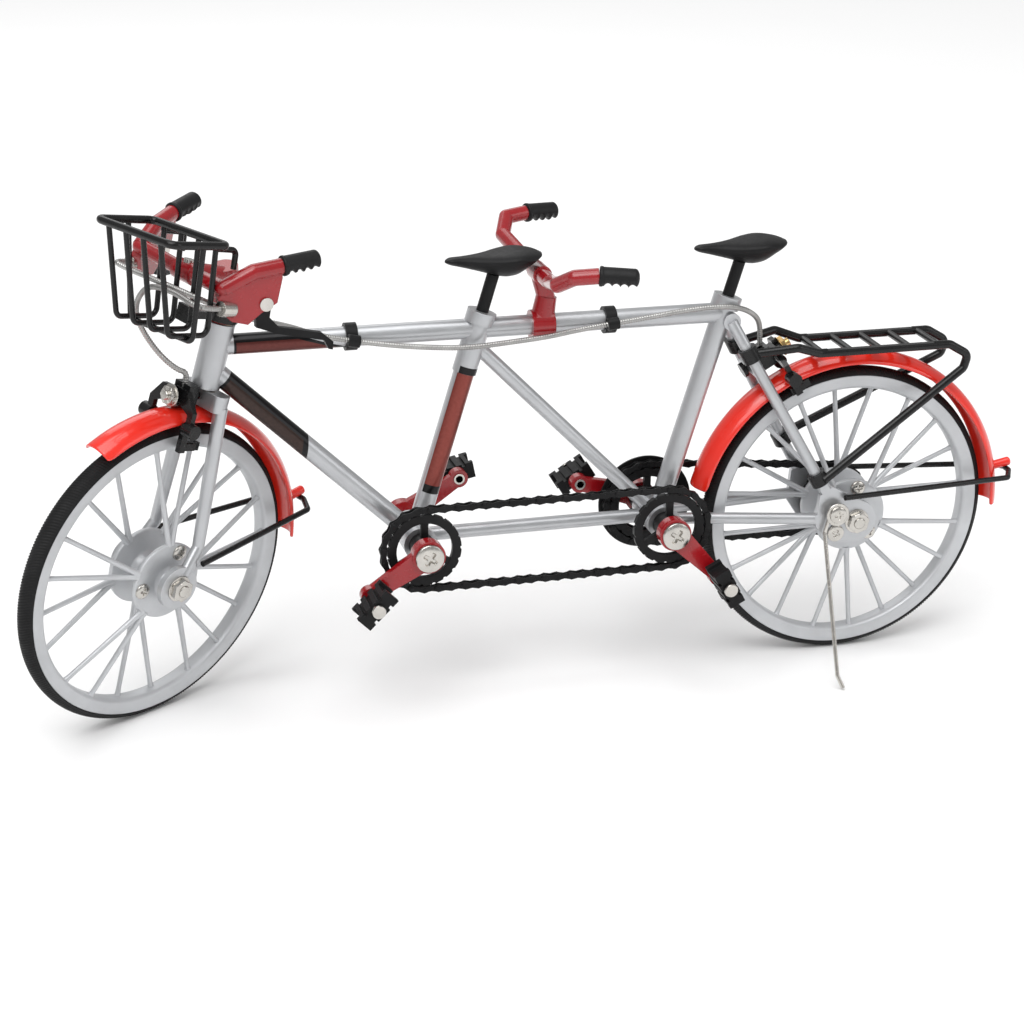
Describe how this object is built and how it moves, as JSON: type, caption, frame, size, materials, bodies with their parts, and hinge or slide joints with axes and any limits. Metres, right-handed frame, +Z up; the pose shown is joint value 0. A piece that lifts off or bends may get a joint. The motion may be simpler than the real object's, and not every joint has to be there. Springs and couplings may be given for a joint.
{
  "type": "tandem bicycle scale model",
  "caption": "Scale model tandem bicycle for two riders with fenders, rear rack, wire basket, chains, hand brakes and a kickstand.",
  "frame": {"origin": "where the rear tyre meets the ground, on the middle plane", "axes": "+X towards the front wheel, +Y to the riders' left, +Z up"},
  "size_m": [0.2216, 0.0612, 0.1104],
  "materials": {
    "silver_paint": "glossy metallic silver paint",
    "orange_red_plastic": "glossy orange red",
    "deep_red_paint": "glossy deep red paint",
    "black_plastic": "satin black",
    "tyre_rubber": "fine cross ribs",
    "grip_rubber": "semi gloss",
    "nickel_steel": "nickel plate",
    "bush_brass": "turned"
  },
  "bodies": {
    "frame": {"main_frame": "silver_paint", "seat_collars": "silver_paint", "bearing_bushes": "bush_brass", "rear_fender": "orange_red_plastic", "rear_fender_stays": "black_plastic", "rear_rack": "black_plastic", "rear_brake_bracket": "black_plastic", "rear_brake_cable": "nickel_steel", "cable_clips": "black_plastic", "rear_axle": "nickel_steel", "timing_chain": "black_plastic", "drive_chain": "black_plastic", "stoker_handlebar": "deep_red_paint", "stoker_grips": "grip_rubber", "kickstand_screws": "nickel_steel"},
    "steering": {"fork": "silver_paint", "handlebar": "deep_red_paint", "handlebar_fasteners": "nickel_steel", "handlebar_grips": "grip_rubber", "basket": "black_plastic", "front_fender": "orange_red_plastic", "front_fender_stays": "black_plastic", "front_brake_bracket": "black_plastic", "front_brake_cable": "nickel_steel", "front_axle": "nickel_steel"},
    "front_wheel": {"front_tyre": "tyre_rubber", "front_rim": "silver_paint", "front_spokes": "silver_paint", "front_hub": "silver_paint", "front_hub_screws": "nickel_steel"},
    "rear_wheel": {"rear_tyre": "tyre_rubber", "rear_rim": "silver_paint", "rear_spokes": "silver_paint", "rear_hub": "silver_paint", "rear_hub_screws": "nickel_steel", "rear_sprocket": "black_plastic"},
    "front_crank": {"front_crank_axle": "nickel_steel", "front_crank_arms": "deep_red_paint", "front_timing_ring": "black_plastic", "front_crank_screws": "nickel_steel"},
    "rear_crank": {"rear_crank_axle": "nickel_steel", "rear_crank_arms": "deep_red_paint", "rear_timing_ring": "black_plastic", "drive_ring": "black_plastic", "rear_crank_screws": "nickel_steel"},
    "front_left_pedal_body": {"front_left_pedal": "black_plastic"},
    "front_right_pedal_body": {"front_right_pedal": "black_plastic"},
    "rear_left_pedal_body": {"rear_left_pedal": "black_plastic"},
    "rear_right_pedal_body": {"rear_right_pedal": "black_plastic"},
    "front_seat": {"front_saddle": "black_plastic", "front_seatpost": "black_plastic"},
    "rear_seat": {"rear_saddle": "black_plastic", "rear_seatpost": "black_plastic"},
    "left_lever": {"left_brake_lever": "black_plastic"},
    "right_lever": {"right_brake_lever": "black_plastic"},
    "front_left_arm": {"front_brake_arm_left": "black_plastic"},
    "front_right_arm": {"front_brake_arm_right": "black_plastic"},
    "rear_left_arm": {"rear_brake_arm_left": "black_plastic"},
    "rear_right_arm": {"rear_brake_arm_right": "black_plastic"},
    "stand": {"kickstand": "nickel_steel"}
  },
  "joints": [
    {"name": "steering_turn", "type": "hinge", "parent": "frame", "child": "steering", "pos_m": [0.1381, 0, 0.08], "axis": [-0.2672, 0, 0.9636], "range_deg": [-72.4, 7.6], "deforming": ["rear_brake_cable"]},
    {"name": "front_wheel_spin", "type": "hinge", "parent": "steering", "child": "front_wheel", "pos_m": [0.15254, 0.0008, 0.03268], "axis": [-0.5163, 0.8443, -0.1432], "continuous": true},
    {"name": "rear_wheel_spin", "type": "hinge", "parent": "frame", "child": "rear_wheel", "pos_m": [0, 0, 0.033], "axis": [0, 1, 0], "continuous": true},
    {"name": "front_crank_spin", "type": "hinge", "parent": "frame", "child": "front_crank", "pos_m": [0.0973, 0, 0.03545], "axis": [0, 1, 0], "continuous": true},
    {"name": "rear_crank_spin", "type": "hinge", "parent": "frame", "child": "rear_crank", "pos_m": [0.04365, 0, 0.03545], "axis": [0, 1, 0], "continuous": true},
    {"name": "front_left_pedal_spin", "type": "hinge", "parent": "front_crank", "child": "front_left_pedal_body", "pos_m": [0.10966, 0.0172, 0.02787], "axis": [0, 1, 0], "continuous": true},
    {"name": "front_right_pedal_spin", "type": "hinge", "parent": "front_crank", "child": "front_right_pedal_body", "pos_m": [0.08494, -0.0172, 0.04303], "axis": [0, 1, 0], "continuous": true},
    {"name": "rear_left_pedal_spin", "type": "hinge", "parent": "rear_crank", "child": "rear_left_pedal_body", "pos_m": [0.03358, 0.0172, 0.02502], "axis": [0, 1, 0], "continuous": true},
    {"name": "rear_right_pedal_spin", "type": "hinge", "parent": "rear_crank", "child": "rear_right_pedal_body", "pos_m": [0.0576, -0.0172, 0.03942], "axis": [0, 1, 0], "continuous": true},
    {"name": "left_lever_pull", "type": "hinge", "parent": "steering", "child": "left_lever", "pos_m": [0.13063, 0.01643, 0.09287], "axis": [-0.1789, 0.9826, -0.0496], "range_deg": [0, 25], "stiffness_Nm_per_rad": 0.0008, "springref_deg": -5.73},
    {"name": "right_lever_pull", "type": "hinge", "parent": "steering", "child": "right_lever", "pos_m": [0.14704, -0.0104, 0.09742], "axis": [-0.7806, 0.5864, -0.2165], "range_deg": [0, 25], "stiffness_Nm_per_rad": 0.0008, "springref_deg": -5.73},
    {"name": "front_left_arm_close", "type": "hinge", "parent": "steering", "child": "front_left_arm", "pos_m": [0.14093, 0, 0.06979], "axis": [-0.8136, -0.5358, -0.2256], "range_deg": [0, 2]},
    {"name": "front_right_arm_close", "type": "hinge", "parent": "steering", "child": "front_right_arm", "pos_m": [0.14093, 0, 0.06979], "axis": [0.8136, 0.5358, 0.2256], "range_deg": [0, 2]},
    {"name": "rear_left_arm_close", "type": "hinge", "parent": "frame", "child": "rear_left_arm", "pos_m": [0.0206, 0, 0.0694], "axis": [-0.866, 0, 0.5], "range_deg": [0, 2]},
    {"name": "rear_right_arm_close", "type": "hinge", "parent": "frame", "child": "rear_right_arm", "pos_m": [0.0206, 0, 0.0694], "axis": [0.866, 0, -0.5], "range_deg": [0, 2]},
    {"name": "kickstand_fold", "type": "hinge", "parent": "frame", "child": "stand", "pos_m": [0.0054, 0.009, 0.0356], "axis": [0, 1, 0], "range_deg": [0, 60]},
    {"name": "front_seat_height", "type": "slide", "parent": "frame", "child": "front_seat", "axis": [-0.284, 0, 0.9588], "range_m": [0, 0.005]},
    {"name": "rear_seat_height", "type": "slide", "parent": "frame", "child": "rear_seat", "axis": [-0.284, 0, 0.9588], "range_m": [-0.004, 0.004]}
  ],
  "couplings": [
    {"joint": "rear_crank_spin", "follows": "rear_wheel_spin", "ratio": 0.85},
    {"joint": "front_crank_spin", "follows": "rear_wheel_spin", "ratio": 0.85},
    {"joint": "front_left_arm_close", "follows": "left_lever_pull", "ratio": 0.08},
    {"joint": "front_right_arm_close", "follows": "left_lever_pull", "ratio": 0.08},
    {"joint": "rear_left_arm_close", "follows": "right_lever_pull", "ratio": 0.08},
    {"joint": "rear_right_arm_close", "follows": "right_lever_pull", "ratio": 0.08}
  ]
}
